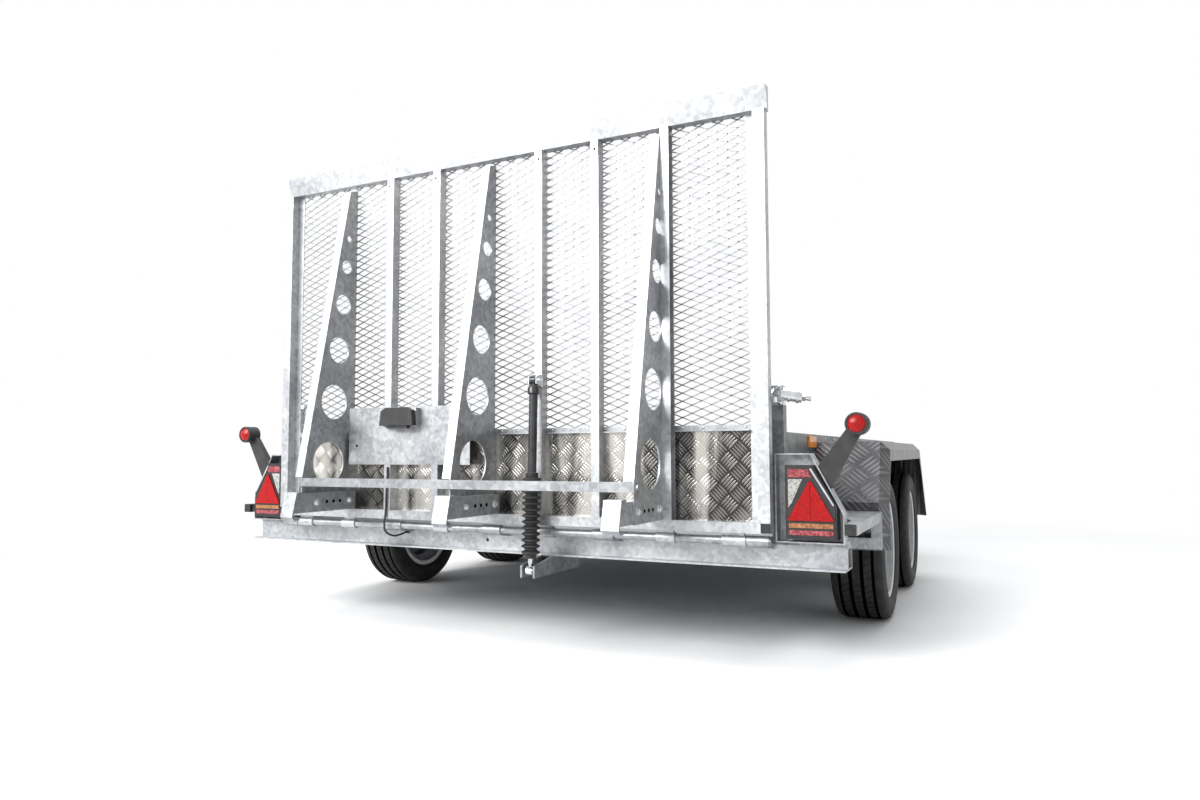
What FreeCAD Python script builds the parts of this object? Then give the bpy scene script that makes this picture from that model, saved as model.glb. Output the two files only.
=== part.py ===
import FreeCAD, Part
import math
import os
from FreeCAD import Vector

# Tandem-axle equipment trailer with a tall rear ramp. Millimetres, +X to the right seen from
# behind, +Y towards the coupling, +Z up, ground at z = 0. While modelling, y = 0 is the rear
# face of the rear beam; save() moves everything so that the origin is under the middle of the
# whole trailer.

# ---- overall sizes ----
BEAM_HALF = 1155.0        # half the rear beam's length, half the body's full width
DECK_LENGTH = 3000.0      # rear beam to the front wall's outer face
DECK_TOP = 372.0          # height of the load floor
WALL_TOP = 686.0          # height of the side walls
WALL_OUT = 958.0          # outer face of the side walls
WALL_DEEP = 26.0          # depth of the folded side wall
DRAWBAR_REACH = 1290.0    # front wall to the coupling's ball centre
RAMP_TOP = 1712.0         # top of the closed ramp

# ---- rear beam and frame ----
BEAM_Z0 = 286.0
BEAM_Z1 = 352.0
BEAM_LIP = 44.0
BEAM_SHEET = 5.0
BEAM_DEEP = 70.0
FLOOR_SHEET = 4.0
RAIL_X = 800.0            # centre of the two lengthwise frame members
RAIL_WIDE = 50.0
RAIL_Z0 = 288.0
CROSS_DEEP = 45.0
CROSS_WIDE = 45.0
CROSS_COUNT = 5
WALL_Z0 = BEAM_Z1
WALL_FOLD = 32.0
POST_IN = WALL_OUT - 18.0
POST_OUT = WALL_OUT + 20.0
POST_DEEP = 40.0
POST_TOP = 764.0

# ---- wheels ----
AXLE_Y = 858.0
AXLE_SPACING = 832.0
TYRE_R = 262.5
TYRE_WIDE = 194.0
TYRE_X = 1080.0
RIM_R = 181.0
RIM_WIDE = 160.0
RIM_LIP = 14.0            # height of the rim's flange over the bead seat
BEAD_GAP = 0.3
FLANGE_GAP = 0.4
AXLE_BEAM = 70.0          # square axle beam
AXLE_Z = 205.0            # centre height of the axle beam
STUB_R = 27.0
HUB_R = 32.0
HUB_FIT = 0.05

# ---- mudguards ----
MUD_TOP = 660.0
MUD_FOLD = 1180.0
MUD_CUT = 30.0            # width of the slanted edge, both ways
MUD_SHEET = 3.0
MUD_VALANCE = 592.0       # lower edge of the side valance
MUD_REAR = ((505.0, 290.0), (488.0, 452.0), (556.0, 660.0))
MUD_FRONT = ((1735.0, 660.0), (2040.0, 305.0))

# ---- hinge ----
HINGE_Y = -65.0
HINGE_Z = 365.0
HINGE_BAR_R = 12.0
HINGE_SLEEVE_R = 17.0
HINGE_FIT = 0.05
HINGE_HALF = 952.0
CHASSIS_SLEEVES = ((0.0, 72.0), (420.0, 72.0), (915.5, 65.0))     # centre, length
RAMP_SLEEVES = ((210.0, 60.0), (630.0, 60.0), (844.0, 72.0))

# ---- ramp ----
RAMP_HALF = 958.0
RAMP_REAR = -95.0
RAMP_PANEL = -55.0        # front face of the panel
PANEL_SHEET = 3.0
FRAME_FACE = 35.0
FRAME_FLANGE = 27.0
FRAME_SHEET = 3.0
BOTTOM_Z0 = 390.0
BOTTOM_Z1 = 421.0
MID_Z0 = 687.0
MID_Z1 = 705.0
TOP_RAIL_Z0 = 1637.0
TOP_RAIL_HALF = 962.0
TOP_RAIL_LEAN = 20.0
PITCH = 209.0             # spacing of ribs and channels across the ramp
CHANNEL_SHIFT = -2.0
CHANNEL_WIDE = 28.0
CHANNEL_SHEET = 3.0

# ---- ribs and feet ----
RIB_SHEET = 5.0
RIB_TOP = (-97.0, 1612.0)
RIB_BEND = (-310.0, 543.0)
RIB_FLANGE = 33.0
RIB_HOLES = ((591.0, 74.0), (812.0, 63.0), (1004.0, 48.0), (1176.0, 37.0), (1320.0, 25.0), (1430.0, 12.0))
RIB_HOLE_REAR = 0.53      # place of a hole's centre between the panel and the rib's rear edge
ARM_WIDE = 43.0
ARM_Z0 = 423.0
ARM_Z1 = 487.0
ARM_SHEET = 4.0
FOOT_WIDE = 54.0
FOOT_SHEET = 6.0
FOOT_TOP = (-385.0, 494.0)
FOOT_KNEE = (-404.0, 412.0)
FOOT_FOLD = 34.0
TIE_BAR = 28.0
TIE_Y = -304.0
TIE_Z = 526.0
PLATE_Z0 = 584.0          # number-plate board
PLATE_Z1 = 790.0
PLATE_LAMP = (-432.0, -287.0, 717.0, 784.0)

# ---- damper ----
DAMPER_X = 196.0
DAMPER_TOP = (-127.0, 860.0)
DAMPER_LOW = (-147.0, 251.0)
DAMPER_TUBE_R = 14.0
DAMPER_TUBE_FROM = 32.0   # distances along the damper, from its top eye
DAMPER_TUBE_TO = 299.0
DAMPER_BELLOWS_TO = 572.0
DAMPER_BELLOWS_R = 31.0
DAMPER_ROD_R = 7.0
DAMPER_EYE_R = 13.0
DAMPER_EYE_WIDE = 22.0
DAMPER_PIN_R = 6.0
DAMPER_STROKE = 228.0
BRACKET_GAP = 40.0
BRACKET_SHEET = 6.0

# ---- lamps ----
BOX_IN = 960.0            # lamp housing, inner side
BOX_Z0 = 363.0
BOX_Z1 = 620.0
BOX_TOP_OUT = 1065.0
BOX_KNEE = 450.0
BOX_REAR = -44.0
BOX_SHEET = 4.0
LAMP_PROUD = 14.0
MARKER = (1196.0, -40.0, 702.0)
MARKER_R = 32.0
MARKER_LONG = 50.0
ARM_FOOT_Z = 552.0        # foot of the marker lamp's arm
STAY_TUBE = 32.0
STAY_REAR = -50.0
STAY_TOP = 423.0
STAY_GAP = 2.0
STAY_ARM = 36.0
ARM_LOW = 300.0

# ---- drawbar, coupling and jockey wheel ----
BAR_WIDE = 60.0
BAR_HIGH = 80.0
BAR_Z0 = 232.0            # underside of the drawbar
COUPLING_Z = 430.0        # centre height of the tow ball
HOUSING_LONG = 330.0
HOUSING_HALF = 48.0
SHAFT_R = 25.0
BALL_R = 25.0
JOCKEY_X = -105.0
JOCKEY_BACK = 140.0       # jockey tube behind the ball centre
JOCKEY_TUBE_R = 30.0
JOCKEY_FIT = 0.05
JOCKEY_WALL = 3.0
JOCKEY_WHEEL_R = 105.0
JOCKEY_WHEEL_WIDE = 65.0
JOCKEY_TRAIL = 45.0
JOCKEY_TRAVEL = 78.0
JOCKEY_TUBE_LONG = 300.0
LEG_Z0 = 2 * JOCKEY_WHEEL_R + 22.0
RUN_GAP = 1.0

BALL_Y = DECK_LENGTH + DRAWBAR_REACH
NOSE_Y = BALL_Y + 55.0
REAR_Y = FOOT_KNEE[0]
Y_SHIFT = -(NOSE_Y + REAR_Y) / 2.0


def box(x0, x1, y0, y1, z0, z1):
    return Part.makeBox(x1 - x0, y1 - y0, z1 - z0, Vector(x0, y0, z0))


def rod(start, end, radius):
    a = Vector(*start)
    along = Vector(*end) - a
    return Part.makeCylinder(radius, along.Length, a, along)


def side_prism(points, x0, x1):
    """Extrude an outline given as (y, z) points from x0 to x1."""
    corners = [Vector(x0, y, z) for y, z in points]
    face = Part.Face(Part.makePolygon(corners + corners[:1]))
    return face.extrude(Vector(x1 - x0, 0, 0))


def plan_prism(points, z0, z1):
    """Extrude an outline given as (x, y) points from z0 to z1."""
    corners = [Vector(x, y, z0) for x, y in points]
    face = Part.Face(Part.makePolygon(corners + corners[:1]))
    return face.extrude(Vector(0, 0, z1 - z0))


def front_prism(points, y0, y1):
    """Extrude an outline given as (x, z) points from y0 to y1."""
    corners = [Vector(x, y0, z) for x, z in points]
    face = Part.Face(Part.makePolygon(corners + corners[:1]))
    return face.extrude(Vector(0, y1 - y0, 0))


def offset_line(points, drop):
    """Move an open run of (y, z) points sideways by drop, to its right, with mitred corners."""
    normals = []
    for (ya, za), (yb, zb) in zip(points, points[1:]):
        run = math.hypot(yb - ya, zb - za)
        normals.append(((zb - za) / run, -(yb - ya) / run))
    moved = []
    for i, (y, z) in enumerate(points):
        ny0, nz0 = normals[max(i - 1, 0)]
        ny1, nz1 = normals[min(i, len(normals) - 1)]
        scale = drop / (1 + ny0 * ny1 + nz0 * nz1)
        moved.append((y + (ny0 + ny1) * scale, z + (nz0 + nz1) * scale))
    return moved


def strip(points, thick):
    """Outline of a bent sheet: the run of points and the same run moved by its thickness."""
    return list(points) + offset_line(points, thick)[::-1]


def square_tube(x0, x1, y0, y1, z0, z1, wall, along):
    """A box tube that is open at both ends along one axis."""
    inset = {"x": (0, wall, wall), "y": (wall, 0, wall), "z": (wall, wall, 0)}[along]
    outer = box(x0, x1, y0, y1, z0, z1)
    inner = box(x0 + inset[0], x1 - inset[0], y0 + inset[1], y1 - inset[1], z0 + inset[2], z1 - inset[2])
    return outer.cut(inner)


def mirrored(shape):
    return shape.mirror(Vector(0, 0, 0), Vector(1, 0, 0))


def joined(shapes):
    whole = shapes[0]
    for other in shapes[1:]:
        whole = whole.fuse(other)
    return whole.removeSplitter()


def both(shape):
    return Part.makeCompound([shape, mirrored(shape)])


def save(name, shape):
    moved = shape.copy()
    moved.translate(Vector(0, Y_SHIFT, 0))
    moved.exportStep("parts/" + name + ".step")


# ---------------------------------------------------------------- frame

def rear_beam():
    """Folded beam across the back: web, rearward lip, top flange and a closed back."""
    lip = box(-BEAM_HALF, BEAM_HALF, -BEAM_LIP, BEAM_SHEET, BEAM_Z0, BEAM_Z0 + BEAM_SHEET)
    shell = square_tube(-BEAM_HALF, BEAM_HALF, 0, BEAM_DEEP, BEAM_Z0, BEAM_Z1, BEAM_SHEET, "x")
    sill_half = WALL_OUT - WALL_DEEP
    sill = box(-sill_half, sill_half, 8, BEAM_DEEP, BEAM_Z1, DECK_TOP - FLOOR_SHEET)
    return joined([lip, shell, sill])


def frame_rails():
    """Two C-section members under the floor, from the rear beam to the front edge."""
    outer = box(RAIL_X - RAIL_WIDE / 2, RAIL_X + RAIL_WIDE / 2, BEAM_DEEP, DECK_LENGTH,
                RAIL_Z0, DECK_TOP - FLOOR_SHEET)
    hollow = box(RAIL_X - RAIL_WIDE / 2 - 1, RAIL_X + RAIL_WIDE / 2 - BEAM_SHEET, BEAM_DEEP - 1,
                 DECK_LENGTH + 1, RAIL_Z0 + BEAM_SHEET, DECK_TOP - FLOOR_SHEET - BEAM_SHEET)
    return both(outer.cut(hollow))


def cross_members():
    """Hat-shaped bearers between the two frame members, seated against their webs."""
    reach = RAIL_X + RAIL_WIDE / 2 - BEAM_SHEET
    step = DECK_LENGTH / (CROSS_COUNT + 1)
    top = DECK_TOP - FLOOR_SHEET - BEAM_SHEET
    bars = []
    for i in range(CROSS_COUNT):
        y = step * (i + 1)
        bars.append(square_tube(-reach, reach, y - CROSS_WIDE / 2, y + CROSS_WIDE / 2,
                                top - CROSS_DEEP, top, BEAM_SHEET, "x"))
    return Part.makeCompound(bars)


def deck():
    return box(-(WALL_OUT - WALL_DEEP), WALL_OUT - WALL_DEEP, 0, DECK_LENGTH - WALL_DEEP,
               DECK_TOP - FLOOR_SHEET, DECK_TOP)


def side_wall():
    """Right side wall, folded at its top and bottom, with the rear corner post."""
    sheet = BEAM_SHEET - 2
    x0 = WALL_OUT - WALL_DEEP
    skin = box(WALL_OUT - sheet, WALL_OUT, POST_DEEP, DECK_LENGTH, WALL_Z0, WALL_TOP)
    top = box(x0, WALL_OUT, POST_DEEP, DECK_LENGTH, WALL_TOP - sheet, WALL_TOP)
    lip = box(x0, x0 + sheet, POST_DEEP, DECK_LENGTH, WALL_TOP - WALL_FOLD, WALL_TOP)
    foot = box(x0, WALL_OUT, POST_DEEP, DECK_LENGTH, DECK_TOP - FLOOR_SHEET, DECK_TOP)
    inner = box(x0, x0 + sheet, POST_DEEP, DECK_LENGTH, DECK_TOP, DECK_TOP + WALL_FOLD)
    post = square_tube(POST_IN, POST_OUT, 0, POST_DEEP, BEAM_Z1, POST_TOP, sheet, "z")
    cap = box(POST_IN, POST_OUT, 0, POST_DEEP, POST_TOP - sheet, POST_TOP)
    return joined([skin, top, lip, foot, inner, post, cap])


def front_wall():
    """Board across the front of the load floor, folded at its top, with its two side returns."""
    sheet = BEAM_SHEET - 2
    x1 = WALL_OUT - WALL_DEEP
    y1 = DECK_LENGTH
    skin = box(-x1, x1, y1 - sheet, y1, DECK_TOP - FLOOR_SHEET, WALL_TOP)
    top = box(-x1, x1, y1 - WALL_DEEP, y1, WALL_TOP - sheet, WALL_TOP)
    lip = box(-x1, x1, y1 - WALL_DEEP, y1 - WALL_DEEP + sheet, WALL_TOP - WALL_FOLD, WALL_TOP)
    return joined([skin, top, lip])


# ---------------------------------------------------------------- axles and wheels

def axle(y):
    """Square axle beam with its rubber-sprung arms and stubs; the arms trail to the wheel centre."""
    arm_in = TYRE_X - TYRE_WIDE / 2 - 75
    arm_out = arm_in + 22
    beam_y = y + 120
    beam = box(-arm_in, arm_in, beam_y - AXLE_BEAM / 2, beam_y + AXLE_BEAM / 2,
               AXLE_Z - AXLE_BEAM / 2, AXLE_Z + AXLE_BEAM / 2)
    pads = []
    arms = []
    for side in (-1, 1):
        x0 = min(side * arm_in, side * arm_out)
        x1 = max(side * arm_in, side * arm_out)
        lower = [(beam_y + 38, AXLE_Z - 38), (beam_y + 38, AXLE_Z + 38), (y - 34, TYRE_R + 34), (y - 34, TYRE_R - 34)]
        arms.append(side_prism(lower, x0, x1))
        arms.append(rod((side * arm_in, y, TYRE_R), (side * (TYRE_X + 20), y, TYRE_R), STUB_R))
        px = side * RAIL_X
        pads.append(box(px - 45, px + 45, beam_y - 60, beam_y + 60, AXLE_Z + AXLE_BEAM / 2, RAIL_Z0))
    return joined([beam] + arms + pads)


def ring(points, x_centre, y, side):
    """Turn an outline of (offset along the axle, radius) points about the wheel's axis."""
    corners = [Vector(x_centre + side * a, y, TYRE_R + r) for a, r in points]
    face = Part.Face(Part.makePolygon(corners + corners[:1]))
    return face.revolve(Vector(x_centre, y, TYRE_R), Vector(1, 0, 0), 360)


def tyre(side, y):
    """Closed tyre section that sits between the rim's flanges, with rounded shoulders."""
    w = TYRE_WIDE / 2
    bead = RIM_R - RIM_LIP
    seat = RIM_WIDE / 2 - FLANGE_GAP
    half = [(seat, bead), (seat, RIM_R + FLANGE_GAP), (seat + 7, RIM_R + 1), (w, (TYRE_R + bead) / 2),
            (w - 7, TYRE_R - 17), (w - 15, TYRE_R - 5), (w - 26, TYRE_R)]
    return ring(half + [(-a, r) for a, r in reversed(half)], side * TYRE_X, y, side)


def rim(side, y):
    """Steel rim with a dished disc, and the brake drum and hub bolted behind it."""
    w = RIM_WIDE / 2
    bead = RIM_R - RIM_LIP - BEAD_GAP
    well = bead - 28
    profile = [(-w - 4, RIM_R), (-w, RIM_R), (-w, bead), (-w + 26, bead), (-w + 40, well), (w - 46, well),
               (w - 26, bead), (w, bead), (w, RIM_R), (w + 4, RIM_R), (w + 1, bead - 4), (w - 24, bead - 4),
               (w - 40, well - 4), (-w + 36, well - 4), (-w + 22, bead - 4), (-w - 1, bead - 4)]
    barrel = ring(profile, side * TYRE_X, y, side)
    disc = ring([(18, well - 2), (34, 96), (34, HUB_R + 12), (52, HUB_R + 4), (52, STUB_R + HUB_FIT + 3),
                 (46, STUB_R + HUB_FIT + 3), (46, HUB_R), (28, HUB_R + 8), (28, 92), (12, well - 2)],
                side * TYRE_X, y, side)
    drum = ring([(-52, STUB_R + HUB_FIT), (18, STUB_R + HUB_FIT), (28, HUB_R + 4), (28, 88), (10, 100), (-52, 100)],
                side * TYRE_X, y, side)
    cap = rod((side * (TYRE_X + 22), y, TYRE_R), (side * (TYRE_X + 62), y, TYRE_R), HUB_R)
    return joined([barrel, disc, drum, cap])


def wheels():
    for end, y in (("rear", AXLE_Y), ("front", AXLE_Y + AXLE_SPACING)):
        save(end + "_axle", axle(y))
        for name, side in (("left", -1), ("right", 1)):
            save("tyre_" + end + "_" + name, tyre(side, y))
            save("rim_" + end + "_" + name, rim(side, y))


# ---------------------------------------------------------------- mudguards

def mud_outline(drop, down, top):
    """Side outline of the mudguard moved inwards by drop, its lower edge lower by down."""
    line = offset_line(MUD_REAR + MUD_FRONT, drop)
    (rear_y, rear_z), (front_y, front_z) = line[0], line[-1]
    line[0] = (rear_y, MUD_REAR[0][1])
    line[-1] = (front_y, MUD_FRONT[1][1])
    line = [(y, min(z, top)) for y, z in line]
    return [(line[0][0], line[0][1] - down)] + line + [(line[-1][0], line[-1][1] - down)]


def mud_body(drop, down, x0, x1, x2):
    """Straight part up to the fold, then the slanted edge that narrows to the outer side."""
    fold = mud_outline(drop, down, MUD_TOP)
    outer = mud_outline(drop + MUD_CUT, down, MUD_TOP)
    wires = []
    for x, points in ((x1, fold), (x2, outer)):
        corners = [Vector(x, y, z) for y, z in points]
        wires.append(Part.makePolygon(corners + corners[:1]))
    return side_prism(fold, x0, x1).fuse(Part.makeLoft(wires, True, True))


def mudguard():
    """Folded chequer-plate cover over both right wheels, with a slanted edge and a side valance."""
    x2 = MUD_FOLD + MUD_CUT
    outer = mud_body(0, 0.01, WALL_OUT, MUD_FOLD, x2)
    cavity = mud_body(MUD_SHEET, 30, WALL_OUT - 1, MUD_FOLD - MUD_SHEET * 0.4, x2 - MUD_SHEET)
    arch = side_prism(mud_outline(MUD_SHEET + MUD_CUT, 30, MUD_VALANCE), x2 - MUD_SHEET - 1, x2 + 1)
    return outer.cut(cavity).cut(arch).removeSplitter()


def mud_stay():
    """Square tube with a plugged rear end, its plate behind the mudguard and its arm to the frame."""
    x0 = BEAM_HALF + STAY_GAP
    x1 = x0 + STAY_TUBE
    z1 = STAY_TOP
    z0 = z1 - STAY_TUBE
    (ya, za), (yb, zb) = MUD_REAR[0], MUD_REAR[1]
    front = ya + (yb - ya) * (z1 - za) / (zb - za) - STAY_GAP
    rear_arm = front - STAY_ARM
    tube = box(x0, x1, STAY_REAR, front, z0, z1)
    plate = plan_prism([(x0, 60), (x0, front), (x0 - 95, front), (x0 - 95, front - 130)], z1 - 4, z1)
    leg = box(x0, x1, rear_arm, front, ARM_LOW, z0)
    arm = box(RAIL_X + RAIL_WIDE / 2, x1, rear_arm, front, ARM_LOW, ARM_LOW + STAY_ARM)
    return joined([tube, plate, leg, arm])


# ---------------------------------------------------------------- lamps

def lamp_housing():
    """Five-sided galvanised box open to the rear, standing on the rear beam's end."""
    rim_points = [(BOX_IN, BOX_Z0), (BEAM_HALF, BOX_Z0), (BEAM_HALF, BOX_KNEE), (BOX_TOP_OUT, BOX_Z1),
                  (BOX_IN, BOX_Z1)]
    s = BOX_SHEET
    inner = [(BOX_IN + s, BOX_Z0 + s), (BEAM_HALF - s, BOX_Z0 + s), (BEAM_HALF - s, BOX_KNEE - s * 0.5),
             (BOX_TOP_OUT - s * 0.6, BOX_Z1 - s), (BOX_IN + s, BOX_Z1 - s)]
    shell = front_prism(rim_points, BOX_REAR, 0).cut(front_prism(inner, BOX_REAR - 1, -s))
    foot = box(BOX_IN + 60, BEAM_HALF, -s, BEAM_DEEP - 20, BEAM_Z1, BOX_Z0 + s)
    return joined([shell, foot])


def tail_lamp():
    """Closed five-sided lamp body seated in the housing, standing a little proud of its rim."""
    x0 = BOX_IN + 33
    x1 = BEAM_HALF - 18
    z0 = BOX_Z0 + 13
    outline = [(x0, z0), (x1, z0), (x1, BOX_KNEE + 19), (BOX_TOP_OUT + 4, BOX_Z1 - 34), (x0, BOX_Z1 - 34)]
    return front_prism(outline, BOX_REAR - LAMP_PROUD, -BOX_SHEET)


def marker_lamp():
    """Round lamp on a slanted rubber arm bolted to the housing's slanted side."""
    x, y, z = MARKER
    body = rod((x, y - MARKER_LONG / 2, z), (x, y + MARKER_LONG / 2, z), MARKER_R)
    t = (BOX_Z1 - ARM_FOOT_Z) / (BOX_Z1 - BOX_KNEE)
    fx = BOX_TOP_OUT + (BEAM_HALF - BOX_TOP_OUT) * t
    dx = BEAM_HALF - BOX_TOP_OUT
    dz = BOX_Z1 - BOX_KNEE
    run = math.hypot(dx, dz)
    ux = dx / run
    uz = -dz / run
    half = 36.0
    top = (fx - ux * half, ARM_FOOT_Z - uz * half)
    low = (fx + ux * half, ARM_FOOT_Z + uz * half)
    arm = front_prism([top, low, (x + 15, z - 12), (x - 17, z + 6)], y + 2, y + 24)
    base = front_prism([top, low, (low[0] + 9 * uz * -1, low[1] + 9 * ux), (top[0] + 9 * uz * -1, top[1] + 9 * ux)],
                       BOX_REAR + 6, -8)
    return joined([body, arm, base])


# ---------------------------------------------------------------- hinge

def hinge_sleeve(x, length, bore):
    outer = rod((x - length / 2, HINGE_Y, HINGE_Z), (x + length / 2, HINGE_Y, HINGE_Z), HINGE_SLEEVE_R)
    if bore <= 0:
        return outer
    return outer.cut(rod((x - length, HINGE_Y, HINGE_Z), (x + length, HINGE_Y, HINGE_Z), bore))


def hinge_bar():
    """Round bar through every sleeve; the body's own sleeves are welded to the rear beam by lugs."""
    bar = rod((-HINGE_HALF, HINGE_Y, HINGE_Z), (HINGE_HALF, HINGE_Y, HINGE_Z), HINGE_BAR_R)
    pieces = [bar]
    for x, length in CHASSIS_SLEEVES:
        for side in ((-1, 1) if x else (1,)):
            pieces.append(hinge_sleeve(side * x, length, 0))
            lug = side_prism([(HINGE_Y, HINGE_Z - HINGE_SLEEVE_R), (0, BEAM_Z1 - 13), (0, BEAM_Z1 - 3),
                              (HINGE_Y + 8, HINGE_Z + HINGE_SLEEVE_R - 3)], side * x - length / 2 + 4,
                             side * x + length / 2 - 4)
            pieces.append(lug)
    return joined(pieces)


# ---------------------------------------------------------------- ramp

def ramp_frame():
    """Two side members and the bottom beam, welded into one, with the knuckles of the hinge."""
    rear = RAMP_REAR
    front = RAMP_PANEL - PANEL_SHEET
    side = square_tube(RAMP_HALF - FRAME_FACE, RAMP_HALF, rear, front, BOTTOM_Z0, TOP_RAIL_Z0, FRAME_SHEET, "z")
    flange = box(RAMP_HALF - FRAME_FACE - FRAME_FLANGE, RAMP_HALF - FRAME_FACE + FRAME_SHEET, front - FRAME_SHEET,
                 front, BOTTOM_Z1, TOP_RAIL_Z0)
    bottom = square_tube(-RAMP_HALF + FRAME_SHEET, RAMP_HALF - FRAME_SHEET, rear, RAMP_PANEL, BOTTOM_Z0, BOTTOM_Z1,
                         FRAME_SHEET, "x")
    pieces = [bottom, side, mirrored(side), flange, mirrored(flange)]
    for x, length in RAMP_SLEEVES:
        for s in (-1, 1):
            pieces.append(hinge_sleeve(s * x, length, HINGE_BAR_R + HINGE_FIT))
            lug = box(s * x - length / 2 + 6, s * x + length / 2 - 6, HINGE_Y - 6, HINGE_Y + 6,
                      HINGE_Z + HINGE_BAR_R + 2, BOTTOM_Z0 + 1)
            pieces.append(lug)
    return joined(pieces)


def ramp_top_rail():
    """Wide folded rail across the top, leaning back, closed at its ends."""
    front = RAMP_PANEL
    rear = -66.0
    z0 = TOP_RAIL_Z0
    z1 = RAMP_TOP
    outline = [(front, z0), (rear - 22, z0), (rear, z0 + 8), (rear - TOP_RAIL_LEAN, z1), (front, z1)]
    outer = side_prism(outline, -TOP_RAIL_HALF, TOP_RAIL_HALF)
    s = FRAME_SHEET
    inner = [(front - s, z0 + s), (rear - 10, z0 + s), (rear + s, z0 + 10), (rear - TOP_RAIL_LEAN + s + 1, z1 - s),
             (front - s, z1 - s)]
    return outer.cut(side_prism(inner, -TOP_RAIL_HALF + s, TOP_RAIL_HALF - s))


def channel(x_right, width, side):
    """Upright C-section behind the panel; its flanges point away from its web."""
    rear = RAMP_REAR
    front = RAMP_PANEL - PANEL_SHEET
    x0 = x_right - width if side > 0 else x_right
    x1 = x_right if side > 0 else x_right + width
    body = box(x0, x1, rear, front, BOTTOM_Z1, TOP_RAIL_Z0)
    s = CHANNEL_SHEET
    if side > 0:
        hollow = box(x0 - 1, x1 - s, rear + s, front - s, BOTTOM_Z1 - 1, TOP_RAIL_Z0 + 1)
    else:
        hollow = box(x0 + s, x1 + 1, rear + s, front - s, BOTTOM_Z1 - 1, TOP_RAIL_Z0 + 1)
    return body.cut(hollow)


def ramp_channels():
    bars = [channel(k * PITCH + CHANNEL_SHIFT, CHANNEL_WIDE, 1) for k in (-2, -1, 1, 2)]
    bars.append(channel(3 * PITCH + RIB_SHEET / 2, CHANNEL_WIDE, -1))
    return Part.makeCompound(bars)


def rib_rear(z):
    """Rear edge of a rib at height z."""
    if z <= RIB_BEND[1]:
        return RIB_BEND[0]
    t = (z - RIB_BEND[1]) / (RIB_TOP[1] - RIB_BEND[1])
    return RIB_BEND[0] + (RIB_TOP[0] - RIB_BEND[0]) * t


def rib(x):
    """Tapered upright rib with round holes and a flange folded along its rear edge."""
    front = RAMP_PANEL - PANEL_SHEET
    x0 = x - RIB_SHEET / 2
    x1 = x + RIB_SHEET / 2
    web = side_prism([(front, BOTTOM_Z1), (RIB_BEND[0], BOTTOM_Z1), RIB_BEND, RIB_TOP, (front, RIB_TOP[1] + 12)],
                     x0, x1)
    for z, radius in RIB_HOLES:
        y = front + (rib_rear(z) - front) * RIB_HOLE_REAR
        web = web.cut(rod((x0 - 1, y, z), (x1 + 1, y, z), radius))
    web = web.cut(box(x0 - 1, x1 + 1, TIE_Y - TIE_BAR / 2, TIE_Y + TIE_BAR / 2, TIE_Z - TIE_BAR / 2,
                      TIE_Z + TIE_BAR / 2))
    slope = math.atan2(RIB_TOP[0] - RIB_BEND[0], RIB_TOP[1] - RIB_BEND[1])
    thick = RIB_SHEET / math.cos(slope)
    flange = side_prism([RIB_BEND, RIB_TOP, (RIB_TOP[0] + thick, RIB_TOP[1]), (RIB_BEND[0] + thick, RIB_BEND[1])],
                        x1 - RIB_FLANGE, x1)
    return joined([web, flange])


def ramp_ribs():
    return Part.makeCompound([rib(k * PITCH) for k in (-3, 0, 3)])


def tie_bar():
    """Square bar through all three ribs, with a bolt head outside each outer rib."""
    end = 3 * PITCH + RIB_SHEET / 2 + 4
    h = TIE_BAR / 2
    bar = box(-end, end, TIE_Y - h, TIE_Y + h, TIE_Z - h, TIE_Z + h)
    bolt = rod((-end - 8, TIE_Y, TIE_Z), (end + 8, TIE_Y, TIE_Z), 9)
    return joined([bar, bolt])


def foot(side, x):
    """Support arm beside a rib with its bent foot plate. side is the way the arm lies from the rib."""
    inner = x + side * RIB_SHEET / 2
    outer = inner + side * ARM_WIDE
    x0 = min(inner, outer)
    x1 = max(inner, outer)
    bent = [(FOOT_TOP[0] + FOOT_FOLD, FOOT_TOP[1]), FOOT_TOP, FOOT_KNEE, (FOOT_KNEE[0] + 12, FOOT_KNEE[1] - 12),
            (FOOT_KNEE[0] + FOOT_FOLD, FOOT_KNEE[1] - 12)]
    plate = side_prism(strip(bent, -FOOT_SHEET), min(inner, inner + side * FOOT_WIDE),
                       max(inner, inner + side * FOOT_WIDE))
    lean = (FOOT_TOP[0] - FOOT_KNEE[0]) / (FOOT_TOP[1] - FOOT_KNEE[1])
    low_y = FOOT_KNEE[0] + lean * (ARM_Z0 - FOOT_KNEE[1]) + FOOT_SHEET
    high_y = FOOT_KNEE[0] + lean * (ARM_Z1 - FOOT_KNEE[1]) + FOOT_SHEET
    s = ARM_SHEET
    block = side_prism([(RAMP_REAR, ARM_Z0), (RAMP_REAR, ARM_Z1), (high_y, ARM_Z1), (low_y, ARM_Z0)], x0, x1)
    hollow = box(x0 + s, x1 - s, low_y - 20, RAMP_REAR + 1, ARM_Z0 + s, ARM_Z1 - s)
    return joined([block.cut(hollow), plate])


def ramp_feet():
    return Part.makeCompound([foot(1, -3 * PITCH), foot(1, 0), foot(-1, 3 * PITCH)])


def ramp_mesh():
    edge = RAMP_HALF - FRAME_FACE + 3
    return box(-edge, edge, RAMP_PANEL - PANEL_SHEET, RAMP_PANEL, MID_Z1, TOP_RAIL_Z0)


def ramp_plate():
    """Chequer plate over the lower part of the ramp, ending under the cross angle."""
    edge = RAMP_HALF - FRAME_FACE + 3
    plate = box(-edge, edge, RAMP_PANEL - PANEL_SHEET, RAMP_PANEL, BOTTOM_Z1, MID_Z1)
    return plate


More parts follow.
